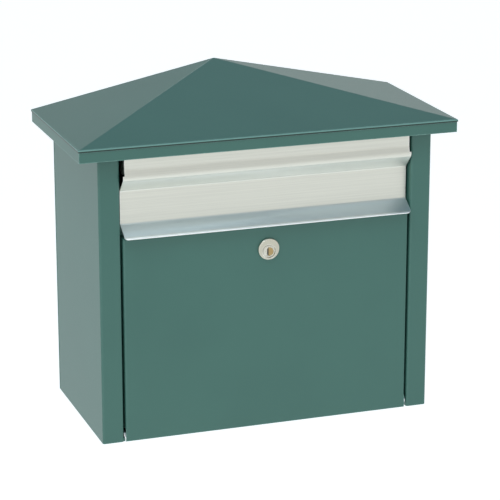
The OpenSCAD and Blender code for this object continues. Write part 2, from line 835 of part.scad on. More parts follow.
module flap_bumpers() {
    low = recess_d + flap_t + bumper_gap;
    color(RUBBER) placed() both_sides() translate([bumper_x, front(return_d), bumper_h])
        rotate([90, 0, 0]) rotate_extrude()
            polygon([[0, -sheet_t - 2.6], [bumper_stem_r * 0.6, -sheet_t - 2.6],
                     [bumper_stem_r + 0.9, -sheet_t - 0.8], [bumper_stem_r + 0.9, -sheet_t],
                     [bumper_stem_r, -sheet_t], [bumper_stem_r, 0], [bumper_r, 0],
                     [bumper_r, return_d - low - 0.8], [bumper_r - 0.8, return_d - low],
                     [0, return_d - low]]);
}

left_side_panel();
right_side_panel();
back_panel();
bottom_panel();
roof();
header_rail();
slot_rail();
door_panel();
door_hinge_leaf();
body_hinge_leaf();
hinge_pin();
hinge_rivets();
lock_housing();
lock_washer();
lock_nut();
lock_plug();
lock_shutter();
key_pins();
driver_pins();
pin_springs();
stop_washer();
lock_cam();
cam_screw();
mail_flap();
flap_pivot_rod();
rod_push_nuts();
flap_bumpers();
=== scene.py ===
"""Wall mailbox with a hipped hood, a drop-down door and a hanging aluminium flap.

Every size is in millimetres and is turned into metres where a mesh is made. Places are given as
x to the right, depth behind the front of the posts, and height above the bottom of the box.
"""

import json
import logging
import math
from collections.abc import Callable, Sequence
from dataclasses import dataclass, replace
from enum import Enum
from typing import Self

import bmesh
import bpy
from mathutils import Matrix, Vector


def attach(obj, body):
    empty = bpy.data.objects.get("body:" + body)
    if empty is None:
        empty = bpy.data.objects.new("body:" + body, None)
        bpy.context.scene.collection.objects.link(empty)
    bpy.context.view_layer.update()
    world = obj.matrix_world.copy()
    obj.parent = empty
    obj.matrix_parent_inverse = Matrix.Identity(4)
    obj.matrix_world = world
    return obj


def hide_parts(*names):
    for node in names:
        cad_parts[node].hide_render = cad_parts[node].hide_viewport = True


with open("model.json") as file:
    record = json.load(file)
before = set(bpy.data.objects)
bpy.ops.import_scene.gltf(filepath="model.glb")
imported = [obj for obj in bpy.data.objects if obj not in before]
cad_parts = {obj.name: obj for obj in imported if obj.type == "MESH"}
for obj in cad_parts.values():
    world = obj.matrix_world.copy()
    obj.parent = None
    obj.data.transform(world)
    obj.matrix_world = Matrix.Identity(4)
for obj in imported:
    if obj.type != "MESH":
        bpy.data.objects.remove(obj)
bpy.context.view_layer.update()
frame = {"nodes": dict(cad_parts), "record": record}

logging.basicConfig(level=logging.INFO, format="%(message)s")
LOG = logging.getLogger("mailbox")

MM = 0.001
BOX_DEPTH = 174.0
SCREW_HEIGHT = 150.0
NEAR = 2e-5
SIDES = (-1.0, 1.0)
RIGHT, BEHIND, UP = Vector((1, 0, 0)), Vector((0, 1, 0)), Vector((0, 0, 1))

Colour = tuple[float, float, float]


def at(x: float, depth: float, height: float) -> Vector:
    """Turn a place on the box into a point of the frame.

    Args:
        x: Distance to the right of the middle, in millimetres.
        depth: Distance behind the front of the posts, in millimetres.
        height: Distance above the bottom of the box, in millimetres.

    Returns:
        The point in metres.
    """
    return Vector((x, depth - BOX_DEPTH, height - SCREW_HEIGHT)) * MM


def close(a: Vector, b: Vector) -> bool:
    """Tell whether two points are the same one."""
    return (a - b).length < NEAR


def upright(a: Vector, b: Vector) -> bool:
    """Tell whether an edge between two points stands upright."""
    return abs(a.x - b.x) < NEAR and abs(a.y - b.y) < NEAR


class Pick(Enum):
    """What is picked on a mesh in edit mode."""

    VERT = "VERT"
    EDGE = "EDGE"
    FACE = "FACE"


class Body(Enum):
    """The moving bodies that pieces ride on."""

    BOX = "box"
    DOOR = "door"
    LOCK_CORE = "lock_core"
    FLAP = "flap"


class Slot(Enum):
    """The finishes of the record."""

    COAT = "green_powder_coat"
    ALUMINIUM = "brushed_aluminium"
    ZINC = "zinc_plate"
    NICKEL = "lock_nickel"
    BRASS = "brass"
    STEEL = "spring_steel"
    RUBBER = "black_rubber"


# ---------------------------------------------------------------- the bench


def clear_bench() -> None:
    """Leave edit mode and deselect every object."""
    if bpy.context.mode != "OBJECT":
        bpy.ops.object.mode_set(mode="OBJECT")
    bpy.ops.object.select_all(action="DESELECT")


@dataclass
class Workpiece:
    """One mesh on the bench, shaped step by step and then put in its place on the box."""

    obj: bpy.types.Object

    # -------------------------------------------------- stock

    @classmethod
    def _stock(cls, name: str) -> Self:
        """Take the primitive that was just added, with its place put into its mesh."""
        obj = bpy.context.object
        obj.name = obj.data.name = name
        bpy.ops.object.transform_apply(location=True, rotation=True, scale=True)
        return cls(obj)

    @classmethod
    def sheet(cls, name: str, corners: Sequence[Vector]) -> Self:
        """Cut a flat sheet without thickness."""
        clear_bench()
        bpy.ops.mesh.primitive_plane_add(size=2)
        piece = cls._stock(name)
        for (x, y), corner in zip(((-1, -1), (1, -1), (1, 1), (-1, 1)), corners):
            home = Vector((x, y, 0))
            piece.points(home).move(corner - home)
        return piece

    @classmethod
    def facing(cls, name: str, x: tuple[float, float], depth: float,
               height: tuple[float, float]) -> Self:
        """Cut a flat sheet that stands parallel to the wall."""
        (x0, x1), (h0, h1) = x, height
        return cls.sheet(name, [at(x0, depth, h0), at(x1, depth, h0), at(x1, depth, h1),
                                at(x0, depth, h1)])

    @classmethod
    def lying(cls, name: str, x: tuple[float, float], depth: tuple[float, float],
              height: Callable[[float], float]) -> Self:
        """Cut a flat sheet that lies level, or that slopes with the distance from the middle."""
        (x0, x1), (d0, d1) = x, depth
        return cls.sheet(name, [at(x0, d0, height(x0)), at(x1, d0, height(x1)),
                                at(x1, d1, height(x1)), at(x0, d1, height(x0))])

    @classmethod
    def folded(cls, name: str, path: Sequence[Vector], across: Vector, radii: Sequence[float],
               thickness: float, outward: Vector, steps: int = 6) -> Self:
        """Fold a strip of sheet along a path of points on its outer face.

        Args:
            name: Name of the piece.
            path: Points of the outer face where the sheet starts, folds and ends.
            across: Width of the strip, in metres, centred on the path.
            radii: Inside radius of each fold, in millimetres.
            thickness: Thickness of the sheet, in millimetres.
            outward: Direction that the first stretch's outer face looks in.
            steps: Number of faces round each fold.
        """
        half = across / 2
        piece = cls.sheet(name, [path[0] - half, path[0] + half, path[1] + half, path[1] - half])
        for here, there in zip(path[1:], path[2:]):
            piece.line(here - half, here + half).extrude(there - here)
        stretches = [(b - a).normalized() for a, b in zip(path, path[1:])]
        normal = across.cross(stretches[0])
        side = 1 if normal.dot(outward) > 0 else -1
        for i, radius in enumerate(radii):
            before, after, place = stretches[i], stretches[i + 1], path[i + 1]
            outer = side * across.cross(before)
            face_radius = radius + thickness if after.dot(outer) < 0 else radius
            offset = face_radius * MM * math.tan(before.angle(after) / 2)
            piece.line(place - half, place + half).bevel(offset, steps)
        return piece.face_out((path[0] + path[1]) / 2, outward)

    @classmethod
    def block(cls, name: str, low: Vector, high: Vector) -> Self:
        """Saw a block between two corners."""
        clear_bench()
        bpy.ops.mesh.primitive_cube_add(size=1, location=(low + high) / 2)
        bpy.ops.transform.resize(value=high - low)
        return cls._stock(name)

    @classmethod
    def bar(cls, name: str, start: Vector, end: Vector, radius: float,
            sides: int = 64) -> Self:
        """Cut a round bar."""
        clear_bench()
        along = end - start
        bpy.ops.mesh.primitive_cylinder_add(
            vertices=sides, radius=radius * MM, depth=along.length,
            location=(start + end) / 2, rotation=along.to_track_quat("Z", "Y").to_euler())
        return cls._stock(name)

    # -------------------------------------------------- picking

    def _open(self) -> bmesh.types.BMesh:
        """Put this mesh alone in edit mode and hand out its edit mesh."""
        if bpy.context.object is not self.obj or bpy.context.mode != "EDIT_MESH":
            self._only()
            bpy.ops.object.mode_set(mode="EDIT")
        return bmesh.from_edit_mesh(self.obj.data)

    def _only(self) -> None:
        """Select this piece alone."""
        clear_bench()
        self.obj.select_set(True)
        bpy.context.view_layer.objects.active = self.obj

    def _pick(self, kind: Pick, test: Callable[..., bool]) -> Self:
        """Select what passes a test and nothing else."""
        mesh = self._open()
        bpy.context.tool_settings.mesh_select_mode = tuple(k is kind for k in Pick)
        mesh.select_mode = {kind.value}
        for group in (mesh.verts, mesh.edges, mesh.faces):
            for item in group:
                item.select = False
        groups = {Pick.VERT: mesh.verts, Pick.EDGE: mesh.edges, Pick.FACE: mesh.faces}
        found = [item for item in groups[kind] if test(item)]
        if not found:
            raise ValueError(f"nothing to pick on {self.obj.name}")
        for item in found:
            item.select_set(True)
        mesh.select_flush_mode()
        bmesh.update_edit_mesh(self.obj.data)
        return self

    def verts(self, test: Callable[[Vector], bool]) -> Self:
        """Pick the points that pass a test of their place."""
        return self._pick(Pick.VERT, lambda v: test(v.co))

    def edges(self, test: Callable[[Vector, Vector], bool]) -> Self:
        """Pick the edges that pass a test of their two ends."""
        return self._pick(Pick.EDGE, lambda e: test(e.verts[0].co, e.verts[1].co))

    def faces(self, test: Callable[[Vector, Vector], bool]) -> Self:
        """Pick the faces that pass a test of their middle and normal."""
        return self._pick(Pick.FACE, lambda f: test(f.calc_center_median(), f.normal))

    def points(self, *places: Vector) -> Self:
        """Pick the points at the places given."""
        return self.verts(lambda co: any(close(co, place) for place in places))

    def line(self, *places: Vector) -> Self:
        """Pick the edges that run between any of the places given."""
        return self.edges(lambda a, b: all(any(close(p, place) for place in places)
                                           for p in (a, b)))

    def whole(self) -> Self:
        """Pick the whole mesh."""
        return self.verts(lambda _: True)

    # -------------------------------------------------- shaping what is picked

    def move(self, by: Vector) -> Self:
        """Move what is picked."""
        bpy.ops.transform.translate(value=by)
        return self

    def extrude(self, by: Vector) -> Self:
        """Draw what is picked out to new geometry, which stays picked."""
        bpy.ops.mesh.extrude_region_move(TRANSFORM_OT_translate={"value": by})
        return self

    def resize(self, by: tuple[float, float, float], centre: Vector) -> Self:
        """Scale what is picked about a centre."""
        bpy.ops.transform.resize(value=by, center_override=centre)
        return self

    def bevel(self, width: float, steps: int = 3, corners: bool = False) -> Self:
        """Round what is picked.

        Args:
            width: Distance from the edge to where the rounding starts, in metres.
            steps: Number of faces of the rounding.
            corners: Whether single points are rounded rather than edges.
        """
        bpy.ops.mesh.bevel(offset_type="OFFSET", offset=width, segments=steps, profile=0.5,
                           affect="VERTICES" if corners else "EDGES", clamp_overlap=False)
        return self

    def inset(self, width: float) -> Self:
        """Inset the picked faces by a width in metres."""
        bpy.ops.mesh.inset(thickness=width)
        return self

    def slice(self, place: Vector, normal: Vector, trim: bool = False,
              close_cut: bool = False) -> Self:
        """Cut what is picked with a plane.

        Args:
            place: A point of the plane.
            normal: The plane's normal.
            trim: Whether the part that the normal points to is thrown away.
            close_cut: Whether the cut is closed with a face.
        """
        bpy.ops.mesh.bisect(plane_co=place, plane_no=normal, clear_outer=trim,
                            use_fill=close_cut)
        return self

    def trim(self, place: Vector, normal: Vector, close_cut: bool = False) -> Self:
        """Cut the whole piece and throw away the side that the normal points to."""
        return self.whole().slice(place, normal, True, close_cut)

    def roll(self, angle: float, centre: Vector, steps: int) -> Self:
        """Spin what is picked about an axis along X, by an angle in degrees."""
        bpy.ops.mesh.spin(steps=steps, dupli=False, angle=math.radians(angle),
                          center=centre, axis=(1, 0, 0))
        return self

    def delete_faces(self) -> Self:
        """Delete the picked faces."""
        bpy.ops.mesh.delete(type="FACE")
        return self

    def face_out(self, place: Vector, outward: Vector) -> Self:
        """Turn the whole face line so that the face nearest to a place looks outward."""
        mesh = self._open()
        nearest = min(mesh.faces, key=lambda f: (f.calc_center_median() - place).length)
        flip = nearest.normal.dot(outward) < 0
        if flip:
            self.whole()
            bpy.ops.mesh.flip_normals()
        return self

    # -------------------------------------------------- whole-piece steps

    def _apply(self, kind: str, **settings: object) -> Self:
        """Add a modifier, set it and apply it."""
        self._only()
        modifier = self.obj.modifiers.new(kind.title(), kind)
        for name, value in settings.items():
            setattr(modifier, name, value)
        bpy.ops.object.modifier_apply(modifier=modifier.name)
        return self

    def thicken(self, thickness: float) -> Self:
        """Give a face line its thickness in millimetres, behind its outer face."""
        return self._apply("SOLIDIFY", thickness=thickness * MM, offset=-1.0,
                           use_even_offset=True)

    def cut_away(self, *tools: "Workpiece") -> Self:
        """Cut the shape of each tool out of this piece; the tools are used up."""
        for tool in tools:
            self._apply("BOOLEAN", operation="DIFFERENCE", solver="EXACT", object=tool.obj)
            bpy.data.objects.remove(tool.obj)
        return self

    def repeat(self, count: int, step: Vector) -> Self:
        """Copy the piece in a row."""
        return self._apply("ARRAY", count=count, use_relative_offset=False,
                           use_constant_offset=True, constant_offset_displace=step)

    def mirrored(self) -> Self:
        """Add the mirror image on the other side of the box."""
        return self._apply("MIRROR", use_axis=(True, False, False), use_mirror_merge=False)

    def join(self, *others: "Workpiece") -> Self:
        """Weld other pieces to this one."""
        self._only()
        for other in others:
            other.obj.select_set(True)
        bpy.ops.object.join()
        return self

    def finish(self, body: Body, slot: Slot, paint: bpy.types.Material, edge: float,
               node: str, angle: float = 40.0) -> None:
        """Break the sharp edges, smooth the piece, paint it and put it on its body.

        Args:
            body: The body that the piece rides on.
            slot: The record's finish; not used.
            paint: The material.
            edge: Width of the broken edges, in millimetres.
            node: The frame's node that the piece stands for.
            angle: Edges sharper than this many degrees are broken.
        """
        self._apply("BEVEL", width=edge * MM, segments=3, limit_method="ANGLE",
                    angle_limit=math.radians(angle), use_clamp_overlap=True)
        self._only()
        bpy.ops.object.shade_smooth_by_angle(angle=math.radians(50))
        self._apply("WEIGHTED_NORMAL", keep_sharp=True, weight=100)
        self.obj.data.materials.clear()
        self.obj.data.materials.append(paint)
        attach(self.obj, body.value)
        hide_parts(node)
        LOG.info("%s: %d faces", self.obj.name, len(self.obj.data.polygons))


# ---------------------------------------------------------------- finishes


class NodeBench:
    """Adds and joins shader nodes in one node tree."""

    def __init__(self, tree: bpy.types.NodeTree) -> None:
        """Take an empty node tree."""
        self.tree = tree

    def add(self, kind: str, sockets: dict[str | int, object] | None = None,
            **settings: object) -> bpy.types.Node:
        """Add a node.

        Args:
            kind: Type of the node, without its prefix.
            sockets: For each input, a value or the output that feeds it.
            settings: Properties of the node.
        """
        node = self.tree.nodes.new(kind if kind.startswith("Node") else "ShaderNode" + kind)
        for name, value in settings.items():
            setattr(node, name, value)
        for name, value in (sockets or {}).items():
            self.feed(node.inputs[name], value)
        return node

    def feed(self, socket: bpy.types.NodeSocket, value: object) -> None:
        """Join an output to an input, or set the input's own value."""
        if isinstance(value, bpy.types.NodeSocket):
            self.tree.links.new(value, socket)
        else:
            socket.default_value = value

    def noise(self, where: bpy.types.NodeSocket, scale: object, detail: float,
              roughness: float = 0.5) -> bpy.types.NodeSocket:
        """Scatter soft noise of a fineness and a detail."""
        return self.add("TexNoise", {"Vector": where, "Scale": scale, "Detail": detail,
                                     "Roughness": roughness}).outputs["Fac"]

    def group(self, tree: bpy.types.NodeTree, **values: object) -> bpy.types.NodeOutputs:
        """Place a shared group and hand out its outputs."""
        return self.add("Group", values, node_tree=tree).outputs

    def ramp(self, feed: bpy.types.NodeSocket, low: float, high: float, to_low: float,
             to_high: float) -> bpy.types.NodeSocket:
        """Map a value from one range to another, kept inside it."""
        node = self.add("MapRange", {"Value": feed, "From Min": low, "From Max": high,
                                     "To Min": to_low, "To Max": to_high}, clamp=True)
        return node.outputs["Result"]

    def maths(self, what: str, a: object, b: object) -> bpy.types.NodeSocket:
        """Do one sum with two values or outputs."""
        return self.add("Math", {0: a, 1: b}, operation=what).outputs[0]

    def blend(self, share: bpy.types.NodeSocket, a: Colour | bpy.types.NodeSocket,
              b: Colour | bpy.types.NodeSocket) -> bpy.types.NodeSocket:
        """Blend from one colour to another, each a fixed one or an output."""
        first, last = ((*c, 1) if isinstance(c, tuple) else c for c in (a, b))
        return self.add("Mix", {0: share, 6: first, 7: last}, data_type="RGBA").outputs[2]


class Effects:
    """Shader node groups that several finishes share."""

    def __init__(self) -> None:
        """Build each group once."""
        self.skin, self.brush = self._skin(), self._brush()
        # The edge mask lays painted highlights on edges and folds; the line mask lays painted
        # bands of highlight, reflection and shade.
        self.painted_highlight, self.line = self._edge_highlight_mask(), self._painted_band()

    @staticmethod
    def _group(name: str, values: dict[str, float], outputs: Sequence[str]) -> tuple[
            NodeBench, bpy.types.NodeOutputs, bpy.types.NodeInputs]:
        """Start a group that takes a place and some values.

        Args:
            name: Name of the group.
            values: Usual value of each input beside the place, which is called Vector.
            outputs: Names of the value outputs.

        Returns:
            A bench for the group's nodes, what the group is given and what it puts out.
        """
        tree = bpy.data.node_groups.new(name, "ShaderNodeTree")
        tree.interface.new_socket("Vector", in_out="INPUT", socket_type="NodeSocketVector")
        for label, usual in values.items():
            tree.interface.new_socket(
                label, in_out="INPUT", socket_type="NodeSocketFloat").default_value = usual
        for label in outputs:
            tree.interface.new_socket(label, in_out="OUTPUT", socket_type="NodeSocketFloat")
        bench = NodeBench(tree)
        return bench, bench.add("NodeGroupInput").outputs, bench.add("NodeGroupOutput").inputs

    def _skin(self) -> bpy.types.NodeTree:
        """The fine orange-peel skin of a sprayed or cast surface, with slow mottling."""
        bench, given, out = self._group("surface_skin", {"Fineness": 900},
                                        ("Height", "Mottle", "Speckle"))
        place = given["Vector"]
        bench.feed(out["Height"], bench.noise(place, given["Fineness"], 2.0))
        bench.feed(out["Mottle"], bench.noise(place, 9.0, 3.0, 0.55))
        bench.feed(out["Speckle"], bench.noise(place, 2600.0, 1.0))
        return bench.tree

    def _brush(self) -> bpy.types.NodeTree:
        """Straight brushing lines along X, in two lengths."""
        bench, given, out = self._group("brushing", {"Fineness": 1}, ("Height", "Streak"))
        values = []
        for stretch in ((3.0, 700.0, 700.0), (14.0, 2600.0, 2600.0)):
            lay = bench.add("Mapping", {"Vector": given["Vector"], "Scale": stretch})
            values.append(bench.noise(lay.outputs["Vector"], given["Fineness"], 3.0))
        bench.feed(out["Height"], values[1])
        bench.feed(out["Streak"], bench.maths("MULTIPLY", bench.maths("ADD", *values), 0.5))
        return bench.tree

    def _edge_highlight_mask(self) -> bpy.types.NodeTree:
        """A mask for painted highlights on outer edges and folds, broken up by noise."""
        bench, given, out = self._group("painted_edge_highlight", {"Width": 0.0014}, ("Mask",))
        rounded = bench.add("Bevel", {"Radius": given["Width"]}, samples=4)
        facing = bench.add("VectorMath", {0: rounded.outputs["Normal"],
                                          1: bench.add("NewGeometry").outputs["Normal"]},
                           operation="DOT_PRODUCT")
        edge = bench.ramp(facing.outputs["Value"], 0.995, 0.90, 0.0, 1.0)
        patchy = bench.ramp(bench.noise(given["Vector"], 160.0, 4.0), 0.35, 0.65, 0.35, 1.0)
        bench.feed(out["Mask"], bench.maths("MULTIPLY", edge, patchy))
        return bench.tree

    def _painted_band(self) -> bpy.types.NodeTree:
        """A mask for a thin level band that follows a folded or hemmed edge, where painted light
        or painted shade is laid.
        """
        bench, given, out = self._group(
            "painted_light_band", {"Middle": 0, "Half": 0.0005, "Reach": 1}, ("Mask",))
        axes = bench.add("SeparateXYZ", {"Vector": given["Vector"]}).outputs
        off = bench.maths("ABSOLUTE", bench.maths("SUBTRACT", axes["Z"], given["Middle"]), 0)
        share = bench.ramp(bench.maths("DIVIDE", off, given["Half"]), 0.7, 1.1, 1.0, 0.0)
        ahead = bench.maths("LESS_THAN", axes["Y"], given["Reach"])
        bench.feed(out["Mask"], bench.maths("MULTIPLY", share, ahead))
        return bench.tree


@dataclass(frozen=True)
class PaintedLightBand:
    """A thin level band of painted light or painted shade along an edge, in millimetres, up to a
    depth.
    """

    height: float
    half: float
    colour: Colour
    reach: float = BOX_DEPTH + 1


@dataclass(frozen=True)
class Finish:
    """A surface finish: a base colour with mottling, a fine skin or brushing, painted highlights
    on edges and folds, and painted bands of light and shade.
    """

    name: str
    colour: Colour
    mottled: Colour
    # Colour of the painted highlight laid on edges and folds.
    highlight_colour: Colour
    roughness: float
    metallic: float
    peel: float = 0.0
    fineness: float = 900.0
    brushed: float = 0.0
    spread: float = 0.05
    # Share of the painted edge highlight.
    painted_highlight: float = 0.5
    anisotropy: float = 0.0
    # Painted bands of highlight, reflection and shade at set heights.
    painted_bands: tuple[PaintedLightBand, ...] = ()

    def mix(self, effects: Effects) -> bpy.types.Material:
        """Make the material."""
        material = bpy.data.materials.new(self.name)
        material.use_nodes = True
        tree = material.node_tree
        tree.nodes.clear()
        bench = NodeBench(tree)
        place = bench.add("TexCoord").outputs["Object"]
        if self.brushed:
            brush = bench.group(effects.brush, Vector=place)
            pattern, grain = (brush["Streak"], 0.38, 0.62), (brush["Streak"], 0.35, 0.65)
            height, depth = brush["Height"], self.brushed
        else:
            skin = bench.group(effects.skin, Vector=place, Fineness=self.fineness)
            pattern, grain = (skin["Mottle"], 0.35, 0.65), (skin["Speckle"], 0.3, 0.7)
            height, depth = skin["Height"], self.peel
        colour = bench.blend(bench.ramp(*pattern, 0.0, 1.0), self.colour, self.mottled)
        rough = bench.ramp(*grain, self.roughness - self.spread, self.roughness + self.spread)
        # Painted highlight on edges and folds, mixed in as a lighter colour.
        painted_highlight = bench.group(effects.painted_highlight, Vector=place)
        colour = bench.blend(bench.maths("MULTIPLY", painted_highlight["Mask"], self.painted_highlight), colour, self.highlight_colour)
        # Painted bands of highlight, reflection and shade at set heights.
        for line in self.painted_bands:
            band_of_painted_light = bench.group(effects.line, Vector=place, Half=line.half * MM,
                               Middle=(line.height - SCREW_HEIGHT) * MM,
                               Reach=(line.reach - BOX_DEPTH) * MM)
            colour = bench.blend(band_of_painted_light["Mask"], colour, line.colour)
        bump = bench.add("Bump", {"Height": height, "Strength": 1.0, "Distance": depth * MM})
        shader = bench.add("BsdfPrincipled", {
            "Base Color": colour, "Roughness": rough, "Metallic": self.metallic,
            "Anisotropic": self.anisotropy, "Anisotropic Rotation": 0.25,
            "Normal": bump.outputs["Normal"]})
        bench.add("OutputMaterial", {"Surface": shader.outputs["BSDF"]})
        return material


# The third colour of each finish is the painted highlight laid on its edges and folds.
FINISHES = {
    Slot.COAT: Finish("green_coat", (0.039, 0.127, 0.102), (0.036, 0.120, 0.097),
                      (0.24, 0.42, 0.38), 0.40, 0.0, peel=0.05, fineness=950.0, spread=0.04,
                      painted_highlight=0.9),
    Slot.ALUMINIUM: Finish("brushed_aluminium", (0.69, 0.685, 0.61), (0.635, 0.63, 0.565),
                           (0.97, 0.97, 0.95), 0.43, 1.0, brushed=0.02, spread=0.05,
                           painted_highlight=1.0, anisotropy=0.35,
                           # Painted bands: a bright painted highlight on the slanted step, a
                           # bluish painted reflection on the lip and a white painted highlight
                           # along the lip's edge.
                           painted_bands=(PaintedLightBand(267.5, 7.0, (0.92, 0.93, 0.87)),
                                  PaintedLightBand(222.0, 5.4, (0.56, 0.63, 0.65)),
                                  PaintedLightBand(216.0, 1.0, (0.97, 0.98, 0.98)))),
    Slot.ZINC: Finish("zinc_plate", (0.66, 0.68, 0.68), (0.58, 0.60, 0.61), (0.80, 0.81, 0.80),
                      0.36, 1.0, peel=0.02, fineness=400.0, spread=0.08),
    Slot.NICKEL: Finish("lock_nickel", (0.60, 0.575, 0.47), (0.50, 0.475, 0.385),
                        (0.98, 0.97, 0.92), 0.28, 1.0, peel=0.02, fineness=420.0, spread=0.07,
                        painted_highlight=1.0),
    Slot.BRASS: Finish("aged_brass", (0.50, 0.36, 0.17), (0.38, 0.27, 0.13), (0.70, 0.55, 0.30),
                       0.38, 1.0, peel=0.015, fineness=600.0, spread=0.08),
    Slot.STEEL: Finish("drawn_steel", (0.55, 0.56, 0.57), (0.46, 0.47, 0.48), (0.75, 0.76, 0.76),
                       0.30, 1.0, brushed=0.01, spread=0.06),
    Slot.RUBBER: Finish("moulded_rubber", (0.022, 0.023, 0.025), (0.030, 0.031, 0.033),
                        (0.06, 0.06, 0.06), 0.72, 0.0, peel=0.06, fineness=1400.0, spread=0.08),
}


# A painted highlight along the front eave fold, and a painted shadow line under the proud edge of
# the slopes.
EAVE_PAINTED_LIGHT = (PaintedLightBand(310.8, 0.55, (0.13, 0.27, 0.235), reach=-13.3),
              PaintedLightBand(309.3, 0.75, (0.004, 0.02, 0.016)))


class Paints:
    """All finishes, mixed once."""

    def __init__(self) -> None:
        """Mix every finish."""
        effects = Effects()
        self.pots = {slot: finish.mix(effects) for slot, finish in FINISHES.items()}
        # The hood's coat adds a painted highlight along the front eave fold and a painted shadow
        # line under the proud edge.
        self.hood = replace(FINISHES[Slot.COAT], name="green_coat_hood_painted_eave",
                            painted_bands=EAVE_PAINTED_LIGHT).mix(effects)

    def __getitem__(self, slot: Slot) -> bpy.types.Material:
        """Hand out the material of a slot."""
        return self.pots[slot]


# ---------------------------------------------------------------- hood


@dataclass(frozen=True)
class Hood:
    """The roof: a front slope and two side slopes that meet at the wall, with a fascia."""

    half_width: float = 200.0
    length: float = 188.5
    eave: float = 311.0
    rise: float = 41.0
    proud: float = 0.8
    proud_height: float = 2.0
    fascia: float = 13.0
    sheet: float = 1.05
    hip_round: float = 0.9
    box_sheet: float = 1.5

    @property
    def side_normal(self) -> Vector:
        """Normal of the right-hand slope."""
        return Vector((self.rise, 0, self.half_width)).normalized()

    @property
    def front_normal(self) -> Vector:
        """Normal of the front slope."""
        return Vector((0, -self.rise, self.length)).normalized()

    def under_front(self, depth: float) -> float:
        """Height of the front slope's underside at a depth behind the posts."""
        face = self.eave + self.rise * (depth + self.length - BOX_DEPTH) / self.length
        return face - self.box_sheet / self.front_normal.z

    def under_side(self, x: float) -> float:
        """Height of a side slope's underside at a distance from the middle."""
        face = self.eave + self.rise * (1 - abs(x) / self.half_width)
        return face - self.box_sheet / self.side_normal.z

    def trim_under(self, piece: Workpiece) -> Workpiece:
        """Cut a piece off along the undersides of the three slopes."""
        for sign in SIDES:
            normal = self.side_normal
            normal.x *= sign
            piece.trim(at(0, BOX_DEPTH, self.under_side(0)), normal)
        return piece.trim(at(0, BOX_DEPTH, self.under_front(BOX_DEPTH)), self.front_normal)

    def build(self, paints: Paints) -> None:
        """Make the hood."""
        clear_bench()
        bpy.ops.mesh.primitive_cone_add(
            vertices=4, radius1=math.sqrt(0.5), radius2=0, depth=self.rise * MM,
            end_fill_type="NOTHING", rotation=(0, 0, math.pi / 4),
            location=at(0, BOX_DEPTH, self.eave + self.rise / 2))
        bpy.ops.object.transform_apply(location=False, rotation=True, scale=False)
        bpy.ops.transform.resize(value=(2 * self.half_width * MM, 2 * self.length * MM, 1))
        hood = Workpiece._stock("hood")
        hood.trim(at(0, BOX_DEPTH, 0), BEHIND)
        rim = at(0, 0, self.eave).z
        hood.edges(lambda a, b: a.z < rim + NEAR and b.z < rim + NEAR)
        hood.extrude(UP * (-self.proud_height * MM))
        hood.extrude(Vector((0, 0, 0)))
        centre = at(0, BOX_DEPTH, self.eave - self.proud_height)
        hood.resize(((self.half_width - self.proud) / self.half_width,
                     (self.length - self.proud) / self.length, 1), centre)
        hood.extrude(UP * ((self.proud_height - self.fascia) * MM))
        hood.face_out(at(0, 60, 330), UP)
        hips = [at(sign * self.half_width, BOX_DEPTH - self.length, self.eave) for sign in SIDES]
        top = at(0, BOX_DEPTH, self.eave + self.rise)
        hood.edges(lambda a, b: any(
            (close(a, top) and close(b, hip)) or (close(b, top) and close(a, hip))
            for hip in hips))
        hood.bevel(self.hip_round * MM, 4)
        wall, behind = at(0, BOX_DEPTH, 0), BEHIND
        hood.trim(wall, behind).thicken(self.sheet).trim(wall, behind, close_cut=True)
        # The hood's material carries a painted highlight along the eave fold and a painted shadow
        # line under the proud edge.
        hood.finish(Body.BOX, Slot.COAT, paints.hood, 0.5, "roof", angle=35)


# ---------------------------------------------------------------- cabinet


